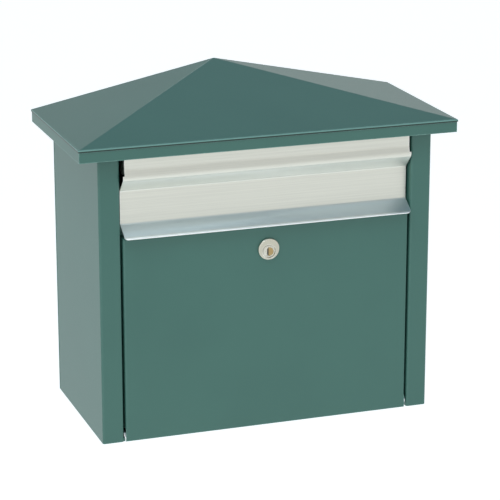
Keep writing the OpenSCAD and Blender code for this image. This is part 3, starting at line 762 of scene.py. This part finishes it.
@dataclass(frozen=True)
class Cabinet:
    """The welded box under the hood: two sides with front posts, back, floor and two rails."""

    half_width: float = 177.0
    sheet: float = 1.5
    fold: float = 0.8
    post: float = 22.0
    post_return: float = 14.0
    rear_flange: float = 15.0
    weld_flange: float = 13.0
    blank_height: float = 340.0
    flange_inset: float = 0.8
    flange_gap: float = 4.0
    gable_flange_from: float = 18.6
    corner_gap: float = 3.0
    rod_hole: float = 2.1
    rod_depth: float = 6.0
    rod_height: float = 300.0
    floor_low: float = 2.14
    floor_flange: float = 13.5
    floor_front: float = 12.46
    wing_front: float = 15.3
    wing_back: float = 170.1
    foot_front: float = 1.5
    foot_middle: float = 154.02
    foot_width: float = 1.85
    screw_pitch_x: float = 240.0
    screw_pitch_z: float = 160.0
    screw_hole: float = 3.5
    drain_hole: float = 3.0
    drain_x: float = 127.44
    drain_depths: tuple[float, float] = (60.9, 139.2)
    floor_relief: float = 2.5
    tongue_gap: float = 2.0
    header_depth: float = 19.0
    header_low: float = 290.0
    rail_low: float = 202.0
    rail_high: float = 236.0
    rail_flange: float = 12.0
    edge: float = 0.25

    def _coated(self, piece: Workpiece, paints: Paints, node: str) -> None:
        """Finish a coated piece of the box."""
        piece.finish(Body.BOX, Slot.COAT, paints[Slot.COAT], self.edge, node)

    def side(self, sign: float, hood: Hood) -> Workpiece:
        """Fold one side with its post, its return and its rear flange."""
        inner, outer = sign * (self.half_width - self.post), sign * self.half_width
        back = BOX_DEPTH - self.sheet
        middle = self.blank_height / 2
        path = [at(inner, self.post_return, middle), at(inner, 0, middle), at(outer, 0, middle),
                at(outer, back, middle), at(outer - sign * self.rear_flange, back, middle)]
        name = "right_side" if sign > 0 else "left_side"
        side = Workpiece.folded(name, path, UP * (self.blank_height * MM), [self.fold] * 3,
                                self.sheet, -sign * RIGHT)
        hood.trim_under(side)
        side.thicken(self.sheet)
        x0 = sign * (self.half_width - self.weld_flange)
        x1 = sign * (self.half_width - self.flange_inset)
        d0, d1 = self.header_depth + self.weld_flange + self.flange_gap, back - self.sheet
        flange = Workpiece.lying(name + "_flange", (x0, x1), (d0, d1), hood.under_side)
        flange.face_out(at(x0, d0, 300), UP).thicken(self.sheet)
        side.cut_away(Workpiece.bar(
            "tool", at(inner - sign * 3, self.rod_depth, self.rod_height),
            at(inner + sign * 5, self.rod_depth, self.rod_height), self.rod_hole, 32))
        return side.join(flange)

    def back(self, hood: Hood) -> Workpiece:
        """Cut the back with its gable, weld flanges and screw holes."""
        wide, tall = self.half_width, hood.eave + hood.rise
        back = Workpiece.facing("back_wall", (-wide, wide), BOX_DEPTH, (0, tall))
        hood.trim_under(back).face_out(at(0, BOX_DEPTH, 100), BEHIND)
        back.thicken(self.sheet)
        for sx in SIDES:
            for sz in SIDES:
                x = sx * self.screw_pitch_x / 2
                height = SCREW_HEIGHT + sz * self.screw_pitch_z / 2
                back.cut_away(Workpiece.bar("tool", at(x, BOX_DEPTH - 5, height),
                                            at(x, BOX_DEPTH + 5, height), self.screw_hole, 40))
        x0, x1 = self.gable_flange_from, wide - self.weld_flange - self.corner_gap
        d0, d1 = BOX_DEPTH - self.sheet - self.weld_flange, BOX_DEPTH - self.sheet
        flange = Workpiece.lying("back_flange", (x0, x1), (d0, d1), hood.under_side)
        flange.face_out(at(x0, d0, 330), UP).thicken(self.sheet).mirrored()
        return back.join(flange)

    def floor(self) -> Workpiece:
        """Fold the floor with its two wings, rear flange and front tongue, and drill it."""
        low, back = self.floor_low, BOX_DEPTH - self.sheet
        middle = self.half_width - self.rear_flange - self.floor_relief
        wall, tongue = self.half_width - self.sheet, self.half_width - self.post - self.tongue_gap
        floor = Workpiece.lying("floor", (-middle, middle), (self.wing_front, back),
                                lambda _: low)
        floor.whole().slice(at(0, self.wing_back, low), BEHIND)
        for sign in SIDES:
            floor.whole().slice(at(sign * tongue, 0, low), RIGHT)
        line = at(0, back, 0).y
        floor.edges(lambda a, b: min(a.y, b.y) > line - NEAR)
        floor.extrude(UP * (self.floor_flange * MM))
        front, rear = at(0, self.wing_front, 0).y, at(0, self.wing_back, 0).y
        for sign in SIDES:
            floor.edges(lambda a, b: min(a.x * sign, b.x * sign) > middle * MM - NEAR
                        and max(a.y, b.y) < rear + NEAR)
            floor.extrude(RIGHT * (sign * (wall - middle) * MM))
            floor.extrude(UP * (self.floor_flange * MM))
        floor.edges(lambda a, b: max(a.y, b.y) < front + NEAR
                    and max(abs(a.x), abs(b.x)) < tongue * MM + NEAR)
        floor.extrude(BEHIND * ((self.floor_front - self.wing_front) * MM))
        level = at(0, 0, low).z
        floor.edges(lambda a, b: abs(a.z - level) < NEAR and abs(b.z - level) < NEAR
                    and (min(abs(a.x), abs(b.x)) > wall * MM - NEAR
                         or min(a.y, b.y) > line - NEAR))
        floor.bevel((self.fold + self.sheet) * MM, 6)
        floor.face_out(at(0, 80, low), -UP).thicken(self.sheet)
        floor.join(self.foot(1), self.foot(-1))
        return floor.cut_away(*(Workpiece.bar(
            "tool", at(sign * self.drain_x, depth, low - 4),
            at(sign * self.drain_x, depth, low + 6), self.drain_hole, 32)
            for sign in SIDES for depth in self.drain_depths))

    def foot(self, sign: float) -> Workpiece:
        """Fold the narrow strip that closes the gap beside the door's lower corner."""
        x, back = sign * self.foot_middle, self.wing_front + 1
        path = [at(x, back, self.floor_low), at(x, self.foot_front + self.sheet, self.floor_low),
                at(x, self.foot_front + self.sheet, 0)]
        foot = Workpiece.folded("foot", path, RIGHT * (self.foot_width * MM), [],
                                self.sheet, -UP)
        return foot.thicken(self.sheet)

    def header(self, hood: Hood) -> Workpiece:
        """Fold the rail above the mail slot."""
        face, back = self.header_depth, self.header_depth + self.weld_flange
        path = [at(0, back, hood.under_front(back)), at(0, face, hood.under_front(face)),
                at(0, face, self.header_low)]
        wide = 2 * (self.half_width - self.sheet) * MM
        rail = Workpiece.folded("header", path, RIGHT * wide, [self.fold], self.sheet,
                                UP)
        return hood.trim_under(rail).thicken(self.sheet)

    def slot_rail(self) -> Workpiece:
        """Fold the rail below the mail slot, with a tab at each end."""
        face, wall = self.post_return, self.half_width - self.sheet
        path = [at(0, face + self.rail_flange, self.rail_high), at(0, face, self.rail_high),
                at(0, face, self.rail_low)]
        rail = Workpiece.folded("lower_rail", path, RIGHT * (2 * wall * MM), [self.fold],
                                self.sheet, UP).thicken(self.sheet)
        tab = Workpiece.sheet("tab", [
            at(wall, face + 1, self.rail_low), at(wall, face + self.rail_flange, self.rail_low),
            at(wall, face + self.rail_flange, self.rail_high - 1),
            at(wall, face + 1, self.rail_high - 1)])
        tab.face_out(at(wall, face, 220), RIGHT).thicken(self.sheet).mirrored()
        return rail.join(tab)

    def build(self, paints: Paints, hood: Hood) -> None:
        """Make every coated piece of the box."""
        self._coated(self.side(1, hood), paints, "right_side_panel")
        self._coated(self.side(-1, hood), paints, "left_side_panel")
        self._coated(self.back(hood), paints, "back_panel")
        self._coated(self.floor(), paints, "bottom_panel")
        self._coated(self.header(hood), paints, "header_rail")
        self._coated(self.slot_rail(), paints, "slot_rail")


# ---------------------------------------------------------------- door and its hinge


@dataclass(frozen=True)
class Hinge:
    """The continuous hinge along the lower edge of the door."""

    pin_depth: float = 4.46
    pin_height: float = 6.5
    barrel: float = 2.86
    leaf: float = 1.2
    leaf_depth: float = 1.2
    joggle: tuple[float, float] = (14.36, 12.36)
    clearance: float = 0.6
    lap: float = 0.3
    roll_steps: int = 22
    half_length: float = 154.6
    knuckles: int = 17
    gap: float = 0.4
    roll: float = 292.0
    door_leaf_top: float = 30.5
    door_leaf_half: float = 148.7
    box_leaf_back: float = 28.46
    box_leaf_half: float = 153.0

    @property
    def pitch(self) -> float:
        """Distance from one knuckle to the next."""
        return 2 * self.half_length / self.knuckles

    def knuckle_row(self, name: str, first: int, start: tuple[float, float],
                    end: tuple[float, float], outward: Vector, turn: float) -> Workpiece:
        """Roll one knuckle from a short strip and repeat it along the pin.

        Args:
            name: Name of the row.
            first: Number of the row's first knuckle, from the left.
            start: Depth and height of the strip's outer face where it leaves the leaf.
            end: Depth and height where the roll begins.
            outward: Direction that the strip's outer face looks in.
            turn: Angle of the roll, in degrees.
        """
        x0 = -self.half_length + first * self.pitch + self.gap / 2
        x1 = x0 + self.pitch - self.gap
        row = Workpiece.sheet(name, [at(x0, *start), at(x1, *start), at(x1, *end), at(x0, *end)])
        row.line(at(x0, *end), at(x1, *end)).roll(turn, at(0, self.pin_depth, self.pin_height),
                                                   self.roll_steps)
        row.whole()
        bpy.ops.mesh.remove_doubles(threshold=NEAR / 4)
        row.face_out((at(x0, *start) + at(x1, *end)) / 2, outward).thicken(self.leaf)
        count = (self.knuckles - first + 1) // 2
        return row.repeat(count, RIGHT * (2 * self.pitch * MM))

    def build(self, paints: Paints) -> None:
        """Make both leaves with their knuckles."""
        front = self.pin_depth - self.barrel
        low = self.pin_height - self.barrel
        clear = self.pin_height + self.barrel + self.clearance
        ahead, down = -BEHIND, -UP
        leaf = Workpiece.folded(
            "door_leaf", [at(0, self.leaf_depth, self.door_leaf_top),
                          at(0, self.leaf_depth, self.joggle[0]),
                          at(0, front, self.joggle[1]), at(0, front, clear)],
            RIGHT * (2 * self.door_leaf_half * MM), [0.5, 0.5], self.leaf, ahead, 3)
        leaf.thicken(self.leaf).join(self.knuckle_row(
            "row", 1, (front, clear + self.lap), (front, self.pin_height), ahead, -self.roll))
        leaf.finish(Body.DOOR, Slot.ZINC, paints[Slot.ZINC], 0.15, "door_hinge_leaf")
        behind = self.pin_depth + self.barrel + self.clearance
        half = self.box_leaf_half
        leaf = Workpiece.lying("box_leaf", (-half, half), (behind, self.box_leaf_back),
                               lambda _: low)
        leaf.face_out(at(0, behind, low), down).thicken(self.leaf).join(self.knuckle_row(
            "row", 0, (behind + self.lap, low), (self.pin_depth, low), down, self.roll))
        leaf.finish(Body.BOX, Slot.ZINC, paints[Slot.ZINC], 0.15, "body_hinge_leaf")


@dataclass(frozen=True)
class Door:
    """The folded pan of the door."""

    half_width: float = 152.7
    height: float = 214.0
    sheet: float = 1.2
    fold: float = 0.8
    flange: float = 12.0
    flange_low: float = 13.86
    lock_height: float = 189.5
    lock_hole: float = 9.6
    lock_flat: float = 8.1

    def build(self, paints: Paints) -> None:
        """Make the door."""
        wide, high, low = self.half_width, self.height, self.flange_low
        pan = Workpiece.facing("door_pan", (-wide, wide), 0, (0, high))
        pan.whole().slice(at(0, 0, low), UP)
        foot, top = at(0, 0, low).z, at(0, 0, high).z
        pan.edges(lambda a, b: min(a.z, b.z) > foot - NEAR and (
            upright(a, b) or min(a.z, b.z) > top - NEAR))
        pan.extrude(BEHIND * (self.flange * MM))
        face = at(0, 0, 0).y
        pan.edges(lambda a, b: min(a.z, b.z) > foot - NEAR and (
            (max(a.y, b.y) < face + NEAR and (upright(a, b) or min(a.z, b.z) > top - NEAR))
            or (abs(a.y - b.y) > NEAR and min(a.z, b.z) > top - NEAR)))
        pan.bevel((self.fold + self.sheet) * MM, 6)
        pan.face_out(at(0, 0, 100), -BEHIND).thicken(self.sheet)
        hole = Workpiece.bar("tool", at(0, -4, self.lock_height), at(0, 6, self.lock_height),
                             self.lock_hole)
        for sign in SIDES:
            hole.trim(at(sign * self.lock_flat, 0, 0), sign * RIGHT, close_cut=True)
        pan.cut_away(hole)
        pan.finish(Body.DOOR, Slot.COAT, paints[Slot.COAT], 0.25, "door_panel")


# ---------------------------------------------------------------- lock


@dataclass(frozen=True)
class CamLock:
    """The cam lock: head and threaded body, plug with its keyway, shutter and tongue."""

    height: float = 189.5
    head: float = 11.2
    proud: float = 2.4
    rim: float = 0.9
    body: float = 9.5
    flat: float = 8.0
    length: float = 15.0
    plug_height: float = 187.2
    plug: float = 6.0
    plug_fit: float = 0.05
    mouth: float = 7.1
    mouth_depth: float = 2.1
    pocket: float = 4.6
    pocket_x: float = 0.5
    pocket_drop: float = 0.5
    pocket_depth: float = 1.2
    keyway_x: tuple[float, float] = (-1.45, -0.35)
    keyway_end: float = 10.8
    keyway_below: float = 4.3
    keyway_above: float = 2.7
    shutter_face: float = -1.35
    shutter_back: float = -0.6
    shutter_edge: float = -0.25
    shutter_fit: float = 0.2
    shutter_crown: float = 0.9
    shutter_sink: float = 0.3
    plug_face: float = -1.6
    tail: float = 7.0
    tail_end: float = 18.3
    tongue_depth: float = 16.3
    tongue: float = 2.0
    tongue_length: float = 33.0
    tongue_width: float = 15.0
    thread_start: float = 5.6
    thread_pitch: float = 1.25
    thread_root: float = 0.93
    tail_lap: float = 0.3
    tail_fit: float = 0.05

    def _along(self, name: str, radius: float, d0: float, d1: float, height: float,
               sides: int = 64) -> Workpiece:
        """Cut a bar along the lock's axis, from one depth to another."""
        return Workpiece.bar(name, at(0, d0, height), at(0, d1, height), radius, sides)

    def housing(self) -> Workpiece:
        """Turn the head with its dished mouth and the threaded body with two flats."""
        head = self._along("lock_head", self.head, -self.proud, 0.4, self.height, 96)
        face = at(0, -self.proud, 0).y
        head.edges(lambda a, b: max(a.y, b.y) < face + NEAR).bevel(self.rim * MM, 4)
        body = self._along("body", self.body, 0, self.length, self.height, 72)
        turns = int((self.length - self.thread_start) / self.thread_pitch * 2)
        for i in range(turns):
            depth = self.thread_start + i * self.thread_pitch / 2
            body.whole().slice(at(0, depth, 0), BEHIND)
            if i % 2:
                line = at(0, depth, 0).y
                body.verts(lambda co: abs(co.y - line) < NEAR)
                body.resize((self.thread_root, 1, self.thread_root), at(0, depth, self.height))
        for sign in SIDES:
            body.trim(at(sign * self.flat, 0, 0), sign * RIGHT, close_cut=True)
        head.join(body)
        return head.cut_away(
            self._along("tool", self.mouth, -self.proud - 2, self.mouth_depth - self.proud,
                        self.plug_height, 80),
            self._along("tool", self.plug + self.plug_fit, -self.proud - 3, self.length + 3,
                        self.plug_height))

    def core(self) -> Workpiece:
        """Turn the plug, mill its pocket and keyway, and square its tail."""
        high, face = self.plug_height, self.plug_face
        plug = self._along("lock_plug_body", self.plug, face, self.length, high, 72)
        reach = self.tail / 2
        plug.join(Workpiece.block("tail", at(-reach, self.length - self.tail_lap, high - reach),
                                  at(reach, self.tail_end, high + reach)))
        drop = high - self.pocket_drop
        return plug.cut_away(
            Workpiece.bar("tool", at(self.pocket_x, face - 2, drop),
                          at(self.pocket_x, face + self.pocket_depth, drop), self.pocket),
            Workpiece.block("tool", at(self.keyway_x[0], face - 2, high - self.keyway_below),
                            at(self.keyway_x[1], self.keyway_end, high + self.keyway_above)))

    def cam(self) -> Workpiece:
        """Stamp the tongue, which points to the left when the lock is open."""
        high, half, near = self.plug_height, self.tongue_width / 2, self.tongue_depth
        blank = Workpiece.facing("tongue", (-self.tongue_length, half), near,
                                 (high - half, high + half))
        blank.whole().bevel(half * 0.999 * MM, 12, corners=True)
        blank.face_out(at(0, near, high), -BEHIND).thicken(self.tongue)
        reach = self.tail / 2 + self.tail_fit
        return blank.cut_away(Workpiece.block("tool", at(-reach, near - 2, high - reach),
                                              at(reach, near + 4, high + reach)))

    def shutter(self) -> Workpiece:
        """Press the dust shutter, a crowned plate that fills the pocket beside the keyway."""
        high, x = self.plug_height - self.pocket_drop, self.pocket_x
        plate = Workpiece.bar("dust_shutter", at(x, self.shutter_face, high),
                              at(x, self.shutter_back, high), self.pocket - self.shutter_fit, 48)
        plate.trim(at(self.shutter_edge, 0, 0), -RIGHT, close_cut=True)
        face = at(0, self.shutter_face, 0).y
        plate.faces(lambda co, _: co.y < face + NEAR).inset(self.shutter_crown * MM)
        return plate.move(BEHIND * (self.shutter_sink * MM))

    def build(self, paints: Paints) -> None:
        """Make the visible pieces of the lock."""
        self.housing().finish(Body.DOOR, Slot.NICKEL, paints[Slot.NICKEL], 0.12, "lock_housing")
        self.core().finish(Body.LOCK_CORE, Slot.NICKEL, paints[Slot.NICKEL], 0.12, "lock_plug")
        self.shutter().finish(Body.LOCK_CORE, Slot.BRASS, paints[Slot.BRASS], 0.08,
                              "lock_shutter")
        self.cam().finish(Body.LOCK_CORE, Slot.ZINC, paints[Slot.ZINC], 0.25, "lock_cam")


# ---------------------------------------------------------------- mail flap


@dataclass(frozen=True)
class MailFlap:
    """The hanging flap: a profiled aluminium sheet with two pivot ears."""

    half_width: float = 152.8
    top_half_width: float = 151.0
    notch: float = 279.0
    sheet: float = 1.2
    lip_corner: float = 4.0
    ear_radius: float = 5.0
    ear_drop: float = 0.6
    ear_step: float = 2.5
    profile: tuple[tuple[float, float], ...] = (
        (12, 306), (-3.3, 306), (-3.3, 285), (-5.2, 278), (-5.2, 275), (8.3, 261), (8.3, 227),
        (-9, 216))
    radii: tuple[float, ...] = (1, 10, 4, 3, 2, 2.5)

    def build(self, paints: Paints) -> None:
        """Make the flap."""
        flap = Workpiece.folded("flap", [at(0, d, h) for d, h in self.profile],
                                RIGHT * (2 * self.half_width * MM), self.radii,
                                self.sheet, UP, 8)
        lift = at(0, 0, self.notch)
        flap.whole().slice(lift, UP)
        for sign in SIDES:
            flap.faces(lambda co, _: co.z > lift.z)
            flap.slice(at(sign * self.top_half_width, 0, 0), sign * RIGHT)
        flap.faces(lambda co, _: co.z > lift.z and abs(co.x) > self.top_half_width * MM)
        flap.delete_faces()
        flap.points(*(at(sign * self.half_width, *self.profile[-1]) for sign in SIDES))
        flap.bevel(self.lip_corner * MM, 8, corners=True)
        flap.thicken(self.sheet)
        flap.join(*(self.ear(sign) for sign in SIDES))
        flap.finish(Body.FLAP, Slot.ALUMINIUM, paints[Slot.ALUMINIUM], 0.3, "mail_flap")

    def ear(self, sign: float) -> Workpiece:
        """Cut one pivot ear with its round lower corners."""
        x, top = sign * self.top_half_width, self.profile[0][1] - self.ear_drop
        front, back = self.profile[1][0] + self.ear_step, self.profile[0][0]
        corners = [at(x, front, self.notch), at(x, back, self.notch), at(x, back, top),
                   at(x, front, top)]
        ear = Workpiece.sheet("ear", corners).points(*corners[:2])
        ear.bevel(self.ear_radius * MM, 8, corners=True)
        return ear.face_out(corners[2], sign * RIGHT).thicken(self.sheet)


# ---------------------------------------------------------------- studio


@dataclass(frozen=True)
class Studio:
    """A pale floor far below the hanging box, soft light and the camera."""

    camera_place: tuple[float, float, float] = (-0.7344, -2.2244, 0.6910)
    camera_turn: tuple[float, float, float] = (73.31, 0.0, -19.216)
    lens: float = 161.72
    floor_drop: float = 1.1
    floor_size: float = 40.0
    floor_glow: float = 0.57
    sky_glow: float = 1.3
    sky_stops: tuple[tuple[float, Colour], ...] = (
        (0.0, (0.65, 0.65, 0.64)), (0.53, (0.66, 0.66, 0.65)), (0.565, (1.0, 1.0, 1.0)),
        (0.60, (0.85, 0.86, 0.86)), (0.68, (0.53, 0.55, 0.56)), (0.76, (0.26, 0.29, 0.32)),
        (1.0, (0.26, 0.37, 0.48)))

    def camera(self) -> None:
        """Set up the camera."""
        data = bpy.data.cameras.new("camera")
        data.lens = self.lens
        camera = bpy.data.objects.new("camera", data)
        camera.location = self.camera_place
        camera.rotation_euler = tuple(math.radians(a) for a in self.camera_turn)
        bpy.context.scene.collection.objects.link(camera)
        bpy.context.scene.camera = camera

    def floor(self) -> None:
        """Lay the pale floor."""
        clear_bench()
        bpy.ops.mesh.primitive_plane_add(size=self.floor_size, location=(0, 0, -self.floor_drop))
        floor = bpy.context.object
        floor.name = "pale_floor"
        material = bpy.data.materials.new("pale_floor")
        material.use_nodes = True
        shader = material.node_tree.nodes["Principled BSDF"]
        shader.inputs["Base Color"].default_value = (0.9, 0.885, 0.865, 1)
        shader.inputs["Roughness"].default_value = 0.9
        shader.inputs["Emission Color"].default_value = (1.0, 0.985, 0.96, 1)
        shader.inputs["Emission Strength"].default_value = self.floor_glow
        floor.data.materials.append(material)

    def sky(self) -> None:
        """Surround the box with a white room that is dimmer overhead."""
        world = bpy.data.worlds.new("white_room")
        world.use_nodes = True
        bpy.context.scene.world = world
        tree = world.node_tree
        tree.nodes.clear()
        bench = NodeBench(tree)
        way = bench.add("SeparateXYZ", {"Vector": bench.add("TexCoord").outputs["Generated"]})
        ramp = bench.add("ValToRGB", {"Fac": bench.ramp(way.outputs["Z"], -1, 1, 0, 1)})
        stops = ramp.color_ramp.elements
        first, *between, last = self.sky_stops
        for stop, (place, colour) in zip(tuple(stops), (first, last)):
            stop.position, stop.color = place, (*colour, 1)
        for place, colour in between:
            stops.new(place).color = (*colour, 1)
        glow = bench.add("Background", {"Color": ramp.outputs["Color"], "Strength": self.sky_glow})
        bench.add("OutputWorld", {"Surface": glow.outputs["Background"]})

    def lamp(self, name: str, place: tuple[float, float, float], size: float, power: float,
             colour: Colour = (1, 1, 1)) -> None:
        """Hang a soft square lamp that looks at the box."""
        data = bpy.data.lights.new(name, "AREA")
        data.size, data.energy, data.color = size, power, colour
        lamp = bpy.data.objects.new(name, data)
        lamp.location = place
        lamp.rotation_euler = (-Vector(place)).to_track_quat("-Z", "Y").to_euler()
        bpy.context.scene.collection.objects.link(lamp)

    def build(self) -> None:
        """Set up the whole studio."""
        self.camera()
        self.floor()
        self.sky()
        self.lamp("key", (-1.2, -2.6, 1.2), 1.6, 7, (1.0, 0.98, 0.95))
        self.lamp("top", (-0.8, -1.2, 2.27), 1.4, 26, (0.88, 0.98, 1.0))
        bpy.context.scene.view_settings.view_transform = "Standard"
        LOG.info("studio: floor %.1f m below the box", self.floor_drop)


# ---------------------------------------------------------------- putting it together


def dress_plain_nodes(paints: Paints) -> None:
    """Give every node of the frame that still shows the material of its slot."""
    slots = {row["node"]: Slot(row["material_slot"]) for row in frame["record"]["subparts"]}
    for name, node in frame["nodes"].items():
        if not node.hide_render:
            node.data.materials.clear()
            node.data.materials.append(paints[slots[name]])
            LOG.info("%s: kept, in %s", name, slots[name].value)


def main() -> None:
    """Build every sub-assembly in order."""
    paints, hood = Paints(), Hood()
    hood.build(paints)
    Cabinet().build(paints, hood)
    Door().build(paints)
    Hinge().build(paints)
    CamLock().build(paints)
    MailFlap().build(paints)
    clear_bench()
    dress_plain_nodes(paints)
    Studio().build()


if __name__ == "__main__":
    main()
